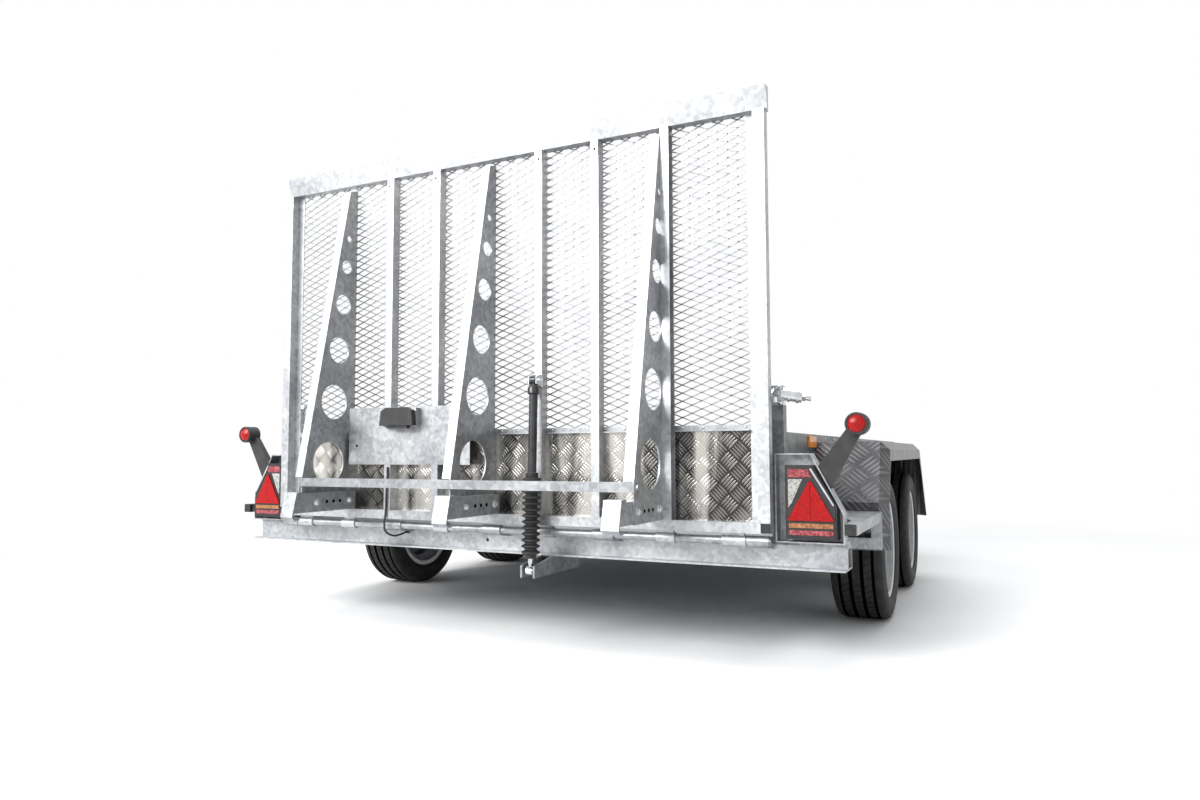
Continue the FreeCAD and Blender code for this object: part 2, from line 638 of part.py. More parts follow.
def mid_angles():
    """Short angles across the ramp between the uprights, behind the joint of plate and mesh."""
    front = RAMP_PANEL - PANEL_SHEET
    s = CHANNEL_SHEET
    h = RIB_SHEET / 2
    w = CHANNEL_WIDE
    c = CHANNEL_SHIFT
    p = PITCH
    side = RAMP_HALF - FRAME_FACE - FRAME_FLANGE
    gaps = [(-side, -3 * p - h), (-3 * p + h, -2 * p + c - w), (-2 * p + c, -p + c - w), (-p + c, -h),
            (h, p + c - w), (p + c, 2 * p + c - w), (2 * p + c, 3 * p - h), (3 * p + h + w, side)]
    pieces = []
    for x0, x1 in gaps:
        upright = box(x0, x1, front - s, front, MID_Z0, MID_Z1)
        shelf = box(x0, x1, front - 20, front, MID_Z0, MID_Z0 + s)
        pieces.append(joined([upright, shelf]))
    return Part.makeCompound(pieces)


def number_plate_board():
    """Flat board between two ribs with the plate lamp on its upper edge."""
    rear = RAMP_REAR - 3
    board = box(-3 * PITCH + RIB_SHEET / 2 + 12, -CHANNEL_WIDE - 46, rear, RAMP_REAR, PLATE_Z0, PLATE_Z1)
    x0, x1, z0, z1 = PLATE_LAMP
    lamp = box(x0, x1, rear - 22, rear, z0, z1)
    return joined([board, lamp])


# ---------------------------------------------------------------- damper

def damper_point(distance):
    """Point on the damper's axis at a distance from its top eye, as (y, z)."""
    (y0, z0), (y1, z1) = DAMPER_TOP, DAMPER_LOW
    run = math.hypot(y1 - y0, z1 - z0)
    return (y0 + (y1 - y0) * distance / run, z0 + (z1 - z0) * distance / run)


def damper_rod_between(a, b, radius):
    pa = damper_point(a)
    pb = damper_point(b)
    return rod((DAMPER_X, pa[0], pa[1]), (DAMPER_X, pb[0], pb[1]), radius)


def damper_length():
    return math.hypot(DAMPER_LOW[0] - DAMPER_TOP[0], DAMPER_LOW[1] - DAMPER_TOP[1])


def damper_barrel():
    """Tube with its top eye, bored for the pin in the ramp's bracket."""
    y, z = DAMPER_TOP
    half = DAMPER_EYE_WIDE / 2
    tube = damper_rod_between(DAMPER_TUBE_FROM, DAMPER_TUBE_TO, DAMPER_TUBE_R)
    neck = damper_rod_between(4, DAMPER_TUBE_FROM + 1, 7)
    eye = rod((DAMPER_X - half, y, z), (DAMPER_X + half, y, z), DAMPER_EYE_R)
    bore = rod((DAMPER_X - 50, y, z), (DAMPER_X + 50, y, z), DAMPER_PIN_R + HINGE_FIT)
    hollow = damper_rod_between(DAMPER_TUBE_FROM + 20, DAMPER_TUBE_TO + 1, DAMPER_ROD_R + 0.5)
    return joined([tube, neck, eye]).cut(bore).cut(hollow)


def damper_rod():
    """Sliding rod with its lower eye and the short pin that it carries."""
    y, z = DAMPER_LOW
    half = DAMPER_EYE_WIDE / 2
    slide = damper_rod_between(DAMPER_TUBE_FROM + 24 + DAMPER_STROKE, damper_length() - 4, DAMPER_ROD_R)
    eye = rod((DAMPER_X - half, y, z), (DAMPER_X + half, y, z), DAMPER_EYE_R)
    pin = rod((DAMPER_X - half - 5, y, z), (DAMPER_X + half + 5, y, z), DAMPER_PIN_R)
    return joined([slide, eye, pin])


def damper_bellows():
    """Outer shape of the rubber bellows round the rod."""
    length = DAMPER_BELLOWS_TO - DAMPER_TUBE_TO
    outer = damper_rod_between(DAMPER_TUBE_TO + 0.3, DAMPER_TUBE_TO + length, DAMPER_BELLOWS_R)
    bore = damper_rod_between(DAMPER_TUBE_TO - 5, DAMPER_TUBE_TO + length + 5, DAMPER_ROD_R + 0.3)
    return outer.cut(bore)


def damper_top_bracket():
    """Two cheeks welded to the ramp's channel, with the pin of the damper's top eye."""
    y, z = DAMPER_TOP
    gap = DAMPER_EYE_WIDE / 2 + 1
    s = 4.0
    cheeks = []
    for side in (-1, 1):
        x0 = DAMPER_X + side * gap
        x1 = x0 + side * s
        cheeks.append(side_prism([(RAMP_REAR, z - 22), (RAMP_REAR, z + 22), (y - 10, z + 12), (y - 10, z - 12)],
                                 min(x0, x1), max(x0, x1)))
    base = box(DAMPER_X - gap - s, DAMPER_X + gap + s, RAMP_REAR - s, RAMP_REAR, z - 22, z + 22)
    pin = rod((DAMPER_X - gap - s - 8, y, z), (DAMPER_X + gap + s + 8, y, z), DAMPER_PIN_R)
    return joined(cheeks + [base, pin])


def damper_low_bracket():
    """Two cheeks carried on an arm under the rear beam; the rod's eye moves between them."""
    y, z = DAMPER_LOW
    gap = BRACKET_GAP / 2
    s = BRACKET_SHEET
    cheeks = []
    for side in (-1, 1):
        x0 = DAMPER_X + side * gap
        x1 = x0 + side * s
        cheeks.append(side_prism([(150, z - 22), (150, BEAM_Z0), (-BEAM_LIP, BEAM_Z0), (y - 18, z + 16),
                                  (y - 18, z - 22)], min(x0, x1), max(x0, x1)))
    web = box(DAMPER_X - gap - s, DAMPER_X + gap + s, -60, 150, z - 22, z - 22 + s)
    seat = box(DAMPER_X - gap - s, DAMPER_X + gap + s, -30, 60, BEAM_Z0 - s, BEAM_Z0)
    return joined(cheeks + [web, seat])


# ---------------------------------------------------------------- drawbar and coupling

def drawbar():
    """Two beams that run from under the floor and meet at the overrun housing."""
    meet_y = BALL_Y - HOUSING_LONG + 40
    start_y = DECK_LENGTH - 900
    spread = RAIL_X - RAIL_WIDE / 2 - BAR_WIDE - 20
    z0 = BAR_Z0
    z1 = BAR_Z0 + BAR_HIGH
    near = 38.0
    arm = plan_prism([(near, meet_y), (near + BAR_WIDE, meet_y - 20), (spread + BAR_WIDE, DECK_LENGTH - 60),
                      (spread + BAR_WIDE, start_y), (spread, start_y), (spread, DECK_LENGTH - 70),
                      (near, meet_y - 130)], z0, z1)
    bridge = box(-near, near, meet_y - 130, meet_y, z0, z1)
    hangers = []
    for y in (start_y + 60, DECK_LENGTH - 120):
        for s in (-1, 1):
            x0 = s * (spread + BAR_WIDE)
            x1 = s * (RAIL_X - RAIL_WIDE / 2)
            hangers.append(box(min(x0, x1), max(x0, x1), y - 40, y + 40, z0 + 42, z0 + 76))
    return joined([arm, mirrored(arm), bridge] + hangers)


def overrun_housing():
    """Cast housing of the overrun brake on the drawbar, with the round shaft it guides."""
    y1 = BALL_Y - 110
    y0 = y1 - HOUSING_LONG
    z = COUPLING_Z - 20
    body = box(-HOUSING_HALF, HOUSING_HALF, y0, y1 - 20, BAR_Z0 + BAR_HIGH, z + 38)
    nose = rod((0, y1 - 80, z), (0, y1, z), 38)
    shaft = rod((0, y1 - 10, z), (0, BALL_Y - 65, z), SHAFT_R)
    gaiter = rod((0, y1, z), (0, BALL_Y - 66, z), 33)
    return joined([body, nose, shaft, gaiter])


def coupling_head():
    """Pressed ball coupling with a hollow cup under it and its lifting handle."""
    z = COUPLING_Z
    y = BALL_Y
    neck = box(-34, 34, y - 65, y - 20, z - 42, z + 20)
    cup = rod((0, y, z - 18), (0, y, z + 34), 40)
    nose = box(-36, 36, y, NOSE_Y, z - 14, z + 26)
    handle = side_prism([(y - 55, z + 20), (y + 20, z + 26), (y + 30, z + 78), (y - 130, z + 92), (y - 130, z + 74),
                         (y - 20, z + 54)], -15, 15)
    whole = joined([neck, cup, nose, handle])
    socket = Part.makeSphere(BALL_R, Vector(0, y, z)).fuse(rod((0, y, z - 60), (0, y, z), BALL_R))
    return whole.cut(socket)


def handbrake():
    """Lever beside the overrun housing, pivoted at its foot."""
    y = BALL_Y - 300
    z = COUPLING_Z - 20
    arm = side_prism([(y - 18, z - 10), (y + 18, z - 10), (y + 118, z + 300), (y + 92, z + 308)], 49, 57)
    grip = rod((53, y + 98, z + 270), (53, y + 112, z + 322), 15)
    boss = rod((48, y, z + 4), (62, y, z + 4), 20)
    return joined([arm, grip, boss])


def jockey_clamp():
    """Clamp round the jockey tube, bolted to the side of the overrun housing."""
    y = BALL_Y - JOCKEY_BACK
    z = COUPLING_Z - 40
    ring_part = rod((JOCKEY_X, y, z - 25), (JOCKEY_X, y, z + 25), JOCKEY_TUBE_R + 10)
    reach = box(JOCKEY_X + 15, -HOUSING_HALF, y - 20, y + 20, z - 25, z + 25)
    bore = rod((JOCKEY_X, y, z - 30), (JOCKEY_X, y, z + 30), JOCKEY_TUBE_R)
    return joined([ring_part, reach]).cut(bore)


def jockey_tube():
    """Outer tube with the winding handle on top."""
    y = BALL_Y - JOCKEY_BACK
    z0 = LEG_Z0 + JOCKEY_TRAVEL + 5
    z1 = z0 + JOCKEY_TUBE_LONG
    tube = rod((JOCKEY_X, y, z0), (JOCKEY_X, y, z1), JOCKEY_TUBE_R)
    bore = rod((JOCKEY_X, y, z0 - 1), (JOCKEY_X, y, z1 - 30), JOCKEY_TUBE_R - JOCKEY_WALL)
    head = rod((JOCKEY_X, y, z1), (JOCKEY_X, y, z1 + 26), JOCKEY_TUBE_R + 4)
    crank = rod((JOCKEY_X, y, z1 + 26), (JOCKEY_X, y, z1 + 44), 9)
    arm = box(JOCKEY_X - 8, JOCKEY_X + 8, y - 130, y + 10, z1 + 36, z1 + 46)
    grip = rod((JOCKEY_X, y - 120, z1 + 40), (JOCKEY_X, y - 120, z1 + 120), 12)
    return joined([tube, head]).cut(bore).fuse(joined([crank, arm, grip])).removeSplitter()


def jockey_leg():
    """Inner tube that winds down, closed below, with the pivot pin of the fork."""
    y = BALL_Y - JOCKEY_BACK
    radius = JOCKEY_TUBE_R - JOCKEY_WALL - JOCKEY_FIT
    tube = rod((JOCKEY_X, y, LEG_Z0), (JOCKEY_X, y, LEG_Z0 + JOCKEY_TUBE_LONG - 30), radius)
    pin = rod((JOCKEY_X, y, LEG_Z0 - 14), (JOCKEY_X, y, LEG_Z0 + 5), 11)
    return joined([tube, pin])


def jockey_fork():
    """Fork that swings round the leg's pin and carries the wheel's axle behind it."""
    y = BALL_Y - JOCKEY_BACK
    wy = y - JOCKEY_TRAIL
    half = JOCKEY_WHEEL_WIDE / 2 + 5
    s = 5.0
    top = LEG_Z0 - RUN_GAP
    crown = box(JOCKEY_X - half - s, JOCKEY_X + half + s, wy - 22, y + 26, top - 6, top)
    cheeks = []
    for side in (-1, 1):
        x0 = JOCKEY_X + side * half
        x1 = x0 + side * s
        cheeks.append(side_prism([(y + 26, top), (wy - 22, top), (wy - 16, JOCKEY_WHEEL_R - 12),
                                  (wy + 16, JOCKEY_WHEEL_R - 12)], min(x0, x1), max(x0, x1)))
    axle_pin = rod((JOCKEY_X - half - s - 4, wy, JOCKEY_WHEEL_R), (JOCKEY_X + half + s + 4, wy, JOCKEY_WHEEL_R), 8)
    bore = rod((JOCKEY_X, y, top - 20), (JOCKEY_X, y, top + 2), 11 + HINGE_FIT)
    return joined([crown] + cheeks + [axle_pin]).cut(bore)


def jockey_wheel():
    """Solid rubber wheel with its hub, bored for the axle pin."""
    y = BALL_Y - JOCKEY_BACK - JOCKEY_TRAIL
    z = JOCKEY_WHEEL_R
    half = JOCKEY_WHEEL_WIDE / 2
    body = rod((JOCKEY_X - half, y, z), (JOCKEY_X + half, y, z), JOCKEY_WHEEL_R)
    body = body.makeFillet(12, [e for e in body.Edges if isinstance(e.Curve, Part.Circle)])
    return body.cut(rod((JOCKEY_X - half - 1, y, z), (JOCKEY_X + half + 1, y, z), 8 + HINGE_FIT))


# ---------------------------------------------------------------- small fittings

def ramp_latch():
    """Over-centre catch on the corner post that holds the closed ramp."""
    z = POST_TOP + 58
    base = box(POST_IN, POST_OUT, 2, POST_DEEP - 4, POST_TOP, z)
    hook = box(RAMP_HALF + 7, POST_OUT - 4, -62, 2, POST_TOP + 4, POST_TOP + 20)
    body = rod((POST_OUT - 6, 14, z - 24), (POST_OUT + 50, 28, z - 34), 19)
    tip = rod((POST_OUT + 40, 25, z - 32), (POST_OUT + 76, 34, z - 39), 9)
    return joined([base, hook, body, tip])


def build():
    os.makedirs("parts", exist_ok=True)
    save("rear_beam", rear_beam())
    save("frame_rails", frame_rails())
    save("cross_members", cross_members())
    save("deck", deck())
    save("side_wall_right", side_wall())
    save("side_wall_left", mirrored(side_wall()))
    save("front_wall", front_wall())
    wheels()
    save("mudguard_right", mudguard())
    save("mudguard_left", mirrored(mudguard()))
    save("mudguard_stays", both(mud_stay()))
    save("lamp_housings", both(lamp_housing()))
    save("tail_lamps", both(tail_lamp()))
    save("marker_lamps", both(marker_lamp()))
    save("hinge_bar", hinge_bar())
    save("ramp_frame", ramp_frame())
    save("ramp_top_rail", ramp_top_rail())
    save("ramp_channels", ramp_channels())
    save("ramp_ribs", ramp_ribs())
    save("ramp_tie_bar", tie_bar())
    save("ramp_feet", ramp_feet())
    save("ramp_mesh", ramp_mesh())
    save("ramp_plate", ramp_plate())
    save("ramp_mid_angles", mid_angles())
    save("number_plate_board", number_plate_board())
    save("damper_barrel", damper_barrel())
    save("damper_rod", damper_rod())
    save("damper_bellows", damper_bellows())
    save("damper_top_bracket", damper_top_bracket())
    save("damper_low_bracket", damper_low_bracket())
    save("drawbar", drawbar())
    save("overrun_housing", overrun_housing())
    save("coupling_head", coupling_head())
    save("handbrake_lever", handbrake())
    save("jockey_clamp", jockey_clamp())
    save("jockey_tube", jockey_tube())
    save("jockey_leg", jockey_leg())
    save("jockey_fork", jockey_fork())
    save("jockey_wheel", jockey_wheel())
    save("ramp_latches", both(ramp_latch()))


build()
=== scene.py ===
import bpy
import math
from mathutils import Matrix, Vector


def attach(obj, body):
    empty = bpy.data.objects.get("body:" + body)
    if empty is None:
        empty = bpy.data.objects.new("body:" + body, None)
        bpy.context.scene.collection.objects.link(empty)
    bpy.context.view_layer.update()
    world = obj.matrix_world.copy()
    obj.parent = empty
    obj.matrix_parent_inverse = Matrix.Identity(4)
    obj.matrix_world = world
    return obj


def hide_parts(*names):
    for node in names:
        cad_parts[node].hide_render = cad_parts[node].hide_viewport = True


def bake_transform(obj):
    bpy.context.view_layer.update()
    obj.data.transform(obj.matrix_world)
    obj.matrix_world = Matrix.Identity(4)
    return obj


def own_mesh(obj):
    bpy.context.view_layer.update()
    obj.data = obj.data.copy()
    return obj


# Equipment trailer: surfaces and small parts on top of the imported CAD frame. Metres.

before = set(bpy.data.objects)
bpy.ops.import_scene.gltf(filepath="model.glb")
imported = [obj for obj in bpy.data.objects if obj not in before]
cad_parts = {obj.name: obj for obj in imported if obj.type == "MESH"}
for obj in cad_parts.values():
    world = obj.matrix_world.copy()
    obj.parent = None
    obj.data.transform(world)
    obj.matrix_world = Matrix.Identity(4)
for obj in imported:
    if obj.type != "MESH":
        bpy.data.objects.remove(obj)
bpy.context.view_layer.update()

# ---------------------------------------------------------------- sizes

SHIFT = -1.9705           # rear beam face in the row frame
LAMP_FACE = SHIFT - 0.058
MESH_LONG = 0.062         # diamond, across
MESH_SHORT = 0.025        # diamond, upwards
MESH_STRAND = 0.0034
MESH_Z = (0.705, 1.637)
MESH_HALF = 0.926
MESH_Y = (SHIFT - 0.0578, SHIFT - 0.0552)
DAMPER_X = 0.196
DAMPER_TOP = Vector((0.196, SHIFT - 0.127, 0.860))
DAMPER_LOW = Vector((0.196, SHIFT - 0.147, 0.251))
DAMPER_DOWN = (DAMPER_LOW - DAMPER_TOP).normalized()
BELLOWS = (0.2993, 0.572, 0.0305, 0.0195, 13)    # from, to, outer and inner radius, ribs
TYRE_X = 1.080
TYRE_R = 0.2625
AXLES = {"rear": -1.1125, "front": -0.2805}

CAMERA_AT = Vector((1.553227, -4.389966, 0.622562))
CAMERA_YAW = 0.453693
CAMERA_PITCH = 0.06468
CAMERA_ROLL = -0.003414
CAMERA_LENS = 24.578


# ---------------------------------------------------------------- shader helpers

class Shade:
    """A node material built from small steps."""

    def __init__(self, name):
        self.mat = bpy.data.materials.new(name)
        self.mat.use_nodes = True
        self.tree = self.mat.node_tree
        self.bsdf = self.tree.nodes["Principled BSDF"]
        self.coord = self.tree.nodes.new("ShaderNodeTexCoord")

    def node(self, kind, **sockets):
        made = self.tree.nodes.new(kind)
        for key, value in sockets.items():
            made.inputs[key].default_value = value
        return made

    def link(self, out, into):
        self.tree.links.new(out, into)

    def noise(self, scale, detail=4.0):
        made = self.node("ShaderNodeTexNoise", Scale=scale, Detail=detail)
        self.link(self.coord.outputs["Object"], made.inputs["Vector"])
        return made.outputs["Fac"]

    def cells(self, scale):
        made = self.node("ShaderNodeTexVoronoi", Scale=scale)
        self.link(self.coord.outputs["Object"], made.inputs["Vector"])
        split = self.node("ShaderNodeSeparateColor")
        self.link(made.outputs["Color"], split.inputs["Color"])
        return split.outputs["Red"]

    def math(self, op, a, b=None):
        made = self.tree.nodes.new("ShaderNodeMath")
        made.operation = op
        for i, value in enumerate((a, b)):
            if value is None:
                continue
            if isinstance(value, (int, float)):
                made.inputs[i].default_value = value
            else:
                self.link(value, made.inputs[i])
        return made.outputs[0]

    def ramp(self, fac, low, high, a=0.3, b=0.7):
        made = self.tree.nodes.new("ShaderNodeValToRGB")
        made.color_ramp.elements[0].position = a
        made.color_ramp.elements[1].position = b
        made.color_ramp.elements[0].color = low + (1.0,)
        made.color_ramp.elements[1].color = high + (1.0,)
        self.link(fac, made.inputs["Fac"])
        return made.outputs["Color"]

    def blend(self, fac, a, b, mode="MIX"):
        made = self.tree.nodes.new("ShaderNodeMix")
        made.data_type = "RGBA"
        made.blend_type = mode
        for socket, value in ((made.inputs[0], fac), (made.inputs[6], a), (made.inputs[7], b)):
            if isinstance(value, (int, float)):
                socket.default_value = value
            elif isinstance(value, tuple):
                socket.default_value = value + (1.0,)
            else:
                self.link(value, socket)
        return made.outputs[2]

    def spread(self, fac, low, high):
        made = self.node("ShaderNodeMapRange")
        made.inputs["To Min"].default_value = low
        made.inputs["To Max"].default_value = high
        self.link(fac, made.inputs["Value"])
        return made.outputs["Result"]

    def bump(self, height, strength, distance=0.002):
        made = self.node("ShaderNodeBump", Strength=strength, Distance=distance)
        self.link(height, made.inputs["Height"])
        self.link(made.outputs["Normal"], self.bsdf.inputs["Normal"])

    def finish(self, color, rough, metallic=0.0, coat=0.0):
        self.link(color, self.bsdf.inputs["Base Color"])
        if isinstance(rough, float):
            self.bsdf.inputs["Roughness"].default_value = rough
        else:
            self.link(rough, self.bsdf.inputs["Roughness"])
        self.bsdf.inputs["Metallic"].default_value = metallic
        self.bsdf.inputs["Coat Weight"].default_value = coat
        return self.mat


def galvanised(name, low, high, scale=55.0, rough=(0.32, 0.55), metallic=0.8):
    """Hot-dip zinc: small bright and dull spangles, with soft cloudy patches."""
    s = Shade(name)
    spangle = s.ramp(s.cells(scale), low, high, 0.0, 1.0)
    cloud = s.ramp(s.noise(6.0), (0.72, 0.73, 0.75), (1.0, 1.0, 1.0), 0.35, 0.65)
    color = s.blend(1.0, spangle, cloud, "MULTIPLY")
    s.bump(s.noise(140.0, 2.0), 0.12, 0.001)
    return s.finish(color, s.spread(s.noise(11.0), rough[0], rough[1]), metallic)


def plain(name, low, high, rough, metallic=0.0, coat=0.0, scale=40.0, bump=0.05):
    """A fine, slightly uneven surface."""
    s = Shade(name)
    color = s.ramp(s.noise(scale), low, high)
    s.bump(s.noise(scale * 6.0, 2.0), bump, 0.0006)
    return s.finish(color, s.spread(s.noise(scale * 0.4), rough * 0.85, rough * 1.15), metallic, coat)


def chequer(name, low, high, cell=0.034, bars=5.0, lift=0.9, rough=(0.28, 0.45), painted_reflection=False):
    """Raised groups of short bars that change direction from one cell to the next. The bars are coloured brighter as a
    painted highlight; an option adds painted reflection strips.
    """
    s = Shade(name)
    place = s.node("ShaderNodeSeparateXYZ")
    s.link(s.coord.outputs["Object"], place.inputs[0])
    normal = s.node("ShaderNodeSeparateXYZ")
    geometry = s.node("ShaderNodeNewGeometry")
    s.link(geometry.outputs["True Normal"], normal.inputs[0])
    sideways = s.math("GREATER_THAN", s.math("ABSOLUTE", normal.outputs[0]), 0.9)
    x, y, z = place.outputs
    across = s.math("ADD", s.math("MULTIPLY", x, s.math("SUBTRACT", 1.0, sideways)), s.math("MULTIPLY", y, sideways))
    along = s.math("ADD", z, s.math("MULTIPLY", y, s.math("SUBTRACT", 1.0, sideways)))
    u = s.math("DIVIDE", s.math("ADD", across, along), cell * 1.414)
    v = s.math("DIVIDE", s.math("SUBTRACT", across, along), cell * 1.414)
    fu = s.math("SUBTRACT", s.math("FRACT", s.math("ADD", u, 50.0)), 0.5)
    fv = s.math("SUBTRACT", s.math("FRACT", s.math("ADD", v, 50.0)), 0.5)
    odd = s.math("FLOORED_MODULO", s.math("ADD", s.math("FLOOR", u), s.math("FLOOR", v)), 2.0)
    even = s.math("SUBTRACT", 1.0, odd)
    a = s.math("ADD", s.math("MULTIPLY", fu, odd), s.math("MULTIPLY", fv, even))
    b = s.math("ADD", s.math("MULTIPLY", fv, odd), s.math("MULTIPLY", fu, even))
    wave = s.math("ABSOLUTE", s.math("SUBTRACT", s.math("FRACT", s.math("ADD", s.math("MULTIPLY", b, bars), 50.5)), 0.5))
    long = s.math("POWER", s.math("DIVIDE", s.math("ABSOLUTE", a), 0.46), 2.0)
    wide = s.math("POWER", s.math("DIVIDE", wave, 0.33), 2.0)
    bar = s.math("MAXIMUM", s.math("SUBTRACT", 1.0, s.math("ADD", long, wide)), 0.0)
    inside = s.math("LESS_THAN", s.math("ABSOLUTE", b), 0.48)
    mask = s.math("MULTIPLY", s.math("MINIMUM", s.math("MULTIPLY", bar, 2.5), 1.0), inside)
    ground = s.ramp(s.noise(9.0), low, high)
    # Painted reflection: when this option is on, the ground colour becomes bright and dark vertical strips of stretched
    # noise standing in for reflections, and the bar colour is weakened to a quarter.
    if painted_reflection:
        reflection_stretch = s.node("ShaderNodeCombineXYZ")
        s.link(s.math("MULTIPLY", x, 9.0), reflection_stretch.inputs[0])
        s.link(s.math("MULTIPLY", z, 1.3), reflection_stretch.inputs[2])
        reflection_band = s.node("ShaderNodeTexNoise", Scale=1.0, Detail=3.0, Distortion=0.6)
        s.link(reflection_stretch.outputs[0], reflection_band.inputs["Vector"])
        ground = s.ramp(reflection_band.outputs["Fac"], low, high, 0.44, 0.58)
    # Painted highlight: the raised bars are coloured up to 1.35 times brighter than the ground.
    bar_highlight = tuple(min(1.0, c * 1.35) for c in high)
    color = s.blend(s.math("MULTIPLY", mask, 0.25 if painted_reflection else 1.0), ground, bar_highlight)
    s.bump(mask, lift, 0.0022)
    return s.finish(color, s.spread(s.noise(14.0), rough[0], rough[1]), 0.85)


def lens(name, low, high, cell, coat=0.15):
    """Coloured plastic over a grid of small prisms."""
    s = Shade(name)
    color = s.ramp(s.cells(cell), low, high, 0.0, 1.0)
    s.bump(s.cells(cell), 0.25, 0.0008)
    s.bsdf.inputs["Specular IOR Level"].default_value = 0.25
    return s.finish(color, 0.25, 0.0, coat)


# The second and third finishes below are lighter and darker copies of the same galvanised finish: painted light on the
# rear beam and the ramp's frame, rail and channels, and painted shade on the side walls.
GALV = galvanised("galvanised", (0.33, 0.34, 0.35), (0.50, 0.51, 0.52), 70.0)
GALV_LIT = galvanised("galvanised_painted_lit", (0.44, 0.45, 0.46), (0.62, 0.63, 0.64), 80.0)
GALV_SHADED = galvanised("galvanised_painted_shade", (0.17, 0.18, 0.18), (0.28, 0.29, 0.29), 60.0)
BRIGHT = plain("bright_zinc", (0.55, 0.56, 0.57), (0.72, 0.73, 0.74), 0.24, 0.95)
MESH_STEEL = galvanised("mesh_steel", (0.20, 0.21, 0.22), (0.33, 0.34, 0.35), 90.0)
FLOOR_PLATE = chequer("deck_chequer", (0.20, 0.21, 0.22), (0.30, 0.31, 0.32))
GUARD_PLATE = chequer("guard_chequer", (0.075, 0.078, 0.08), (0.13, 0.13, 0.135), 0.082, 5.0)
# The ramp plate carries painted reflection: bright and dark vertical strips in its colour.
RAMP_PLATE_PAINTED_REFLECTION = chequer("ramp_plate_painted_reflection", (0.06, 0.058, 0.055), (0.62, 0.60, 0.56), 0.045, 5.0, 0.25, (0.10, 0.2), True)
BLACK = plain("black_paint", (0.012, 0.012, 0.013), (0.03, 0.03, 0.032), 0.35, coat=0.3)
RUBBER = plain("black_rubber", (0.012, 0.012, 0.012), (0.028, 0.028, 0.028), 0.62)
PLASTIC = plain("black_plastic", (0.01, 0.01, 0.01), (0.025, 0.025, 0.025), 0.4)
RIM = plain("rim_silver", (0.42, 0.43, 0.44), (0.56, 0.57, 0.58), 0.35, 0.6)
CAST = plain("cast_grey", (0.12, 0.12, 0.125), (0.2, 0.2, 0.205), 0.6, 0.4)
CHROME = plain("rod_chrome", (0.68, 0.69, 0.70), (0.8, 0.81, 0.82), 0.1, 1.0)
RED = lens("lens_red", (0.24, 0.0005, 0.001), (0.42, 0.002, 0.003), 260.0)
RED_DIM = lens("lens_red_dim", (0.16, 0.02, 0.03), (0.42, 0.11, 0.12), 190.0)
AMBER_DIM = lens("lens_amber_dim", (0.20, 0.07, 0.03), (0.42, 0.20, 0.09), 190.0)
AMBER = lens("lens_amber", (0.70, 0.22, 0.01), (0.90, 0.34, 0.02), 240.0)
CLEAR = lens("lens_clear", (0.22, 0.22, 0.21), (0.46, 0.45, 0.43), 190.0)
SILVER = plain("lamp_edge", (0.42, 0.42, 0.46), (0.7, 0.7, 0.74), 0.2, 0.6)


def tyre_material():
    """Black rubber with a fine bump."""
    s = Shade("tyre_rubber")
    color = s.ramp(s.noise(30.0), (0.012, 0.012, 0.012), (0.028, 0.028, 0.028))
    s.bump(s.noise(160.0, 3.0), 0.2, 0.0008)
    s.bsdf.inputs["Specular IOR Level"].default_value = 0.28
    return s.finish(color, s.spread(s.noise(20.0), 0.55, 0.75))


TYRE = tyre_material()


# ---------------------------------------------------------------- mesh helpers

def part(name, shape, material, body, smooth=False):
    verts, faces = shape
    mesh = bpy.data.meshes.new(name)
    mesh.from_pydata([tuple(v) for v in verts], [], faces)
    mesh.materials.append(material)
    mesh.update()
    if smooth:
        mesh.polygons.foreach_set("use_smooth", [True] * len(mesh.polygons))
        mesh.set_sharp_from_angle(angle=math.radians(38))
    made = bpy.data.objects.new(name, mesh)
    bpy.context.scene.collection.objects.link(made)
    if body:
        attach(made, body)
    return made


def block(x0, x1, y0, y1, z0, z1):
    verts = [(x, y, z) for x in (x0, x1) for y in (y0, y1) for z in (z0, z1)]
    faces = [(0, 1, 3, 2), (4, 6, 7, 5), (0, 4, 5, 1), (2, 3, 7, 6), (0, 2, 6, 4), (1, 5, 7, 3)]
    return verts, faces


def gather(shapes):
    verts, faces = [], []
    for v, f in shapes:
        start = len(verts)
        verts.extend(v)
        faces.extend(tuple(i + start for i in face) for face in f)
    return verts, faces


def frame_of(direction):
    """Two unit vectors at right angles to a direction."""
    d = Vector(direction).normalized()
    side = d.cross(Vector((0, 0, 1)) if abs(d.z) < 0.9 else Vector((0, 1, 0))).normalized()
    return d, side, d.cross(side)


def lathe(profile, origin, direction, count=32):
    """Turn (distance, radius) points about an axis; both ends are closed."""
    d, a, b = frame_of(direction)
    o = Vector(origin)
    verts = []
    for t, r in profile:
        for k in range(count):
            ang = 2 * math.pi * k / count
            verts.append(o + d * t + (a * math.cos(ang) + b * math.sin(ang)) * r)
    faces = []
    for i in range(len(profile) - 1):
        for k in range(count):
            n = (k + 1) % count
            faces.append((i * count + k, (i + 1) * count + k, (i + 1) * count + n, i * count + n))
    last = (len(profile) - 1) * count
    faces.append(tuple(range(count)))
    faces.append(tuple(last + k for k in reversed(range(count))))
    return verts, faces


def ring(profile, origin, direction, count=96):
    """As lathe, but the profile is a closed loop with no end caps."""
    d, a, b = frame_of(direction)
    o = Vector(origin)
    verts = []
    for t, r in profile:
        for k in range(count):
            ang = 2 * math.pi * k / count
            verts.append(o + d * t + (a * math.cos(ang) + b * math.sin(ang)) * r)
    faces = []
    m = len(profile)
    for i in range(m):
        j = (i + 1) % m
        for k in range(count):
            n = (k + 1) % count
            faces.append((i * count + k, j * count + k, j * count + n, i * count + n))
    return verts, faces


def rod(a, b, radius, count=20):
    a, b = Vector(a), Vector(b)
    return lathe([(0, radius), ((b - a).length, radius)], a, b - a, count)


